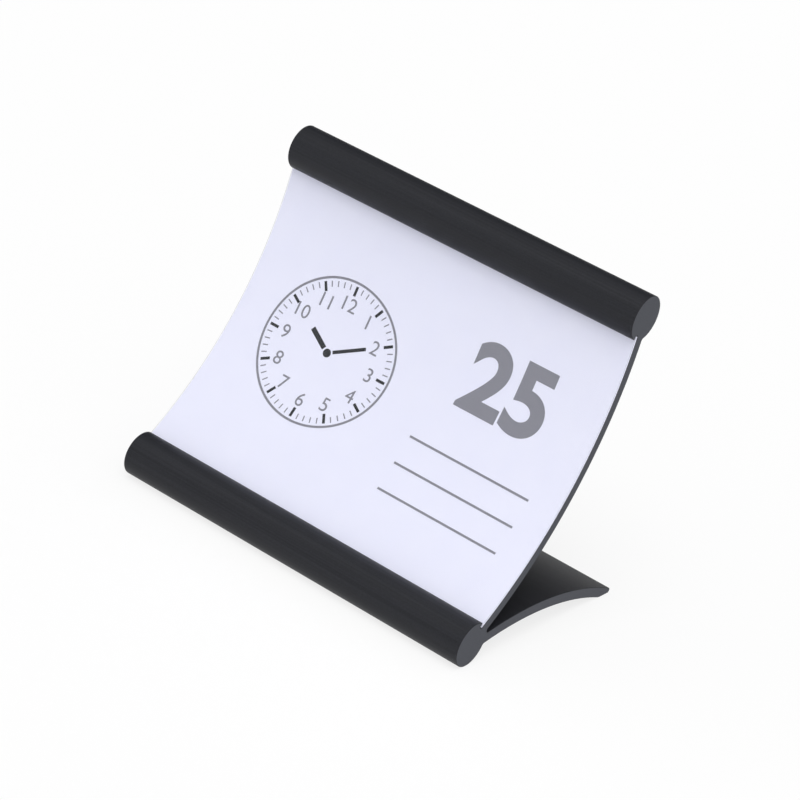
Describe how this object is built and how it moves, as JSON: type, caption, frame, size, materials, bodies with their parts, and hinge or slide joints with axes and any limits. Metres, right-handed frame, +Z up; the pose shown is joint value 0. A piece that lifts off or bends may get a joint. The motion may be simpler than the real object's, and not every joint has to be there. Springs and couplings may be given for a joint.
{
  "type": "table sign holder",
  "caption": "Black extruded table sign holder: bowed back plate between round slotted beads, arched rear foot, and a printed card that slides in under a clear cover.",
  "frame": {"origin": "on the table, under the middle of the holder's bounding box", "axes": "+X along the rail to the right as the card is read, +Y to the back, +Z up; the card faces -Y and up"},
  "size_m": [0.07, 0.047, 0.0594],
  "materials": {
    "anodised_rail": "satin",
    "card": "matte",
    "print_ink": "matte",
    "clear_sheet": "gloss"
  },
  "bodies": {
    "holder": {"holder_rail": "anodised_rail"},
    "card": {"printed_card": "card"},
    "cover": {"clear_cover": "clear_sheet"}
  },
  "joints": [
    {"name": "card_slide", "type": "slide", "parent": "holder", "child": "card", "axis": [1, 0, 0], "range_m": [-0.072, 0.072]},
    {"name": "cover_slide", "type": "slide", "parent": "holder", "child": "cover", "axis": [1, 0, 0], "range_m": [-0.072, 0.072]}
  ]
}
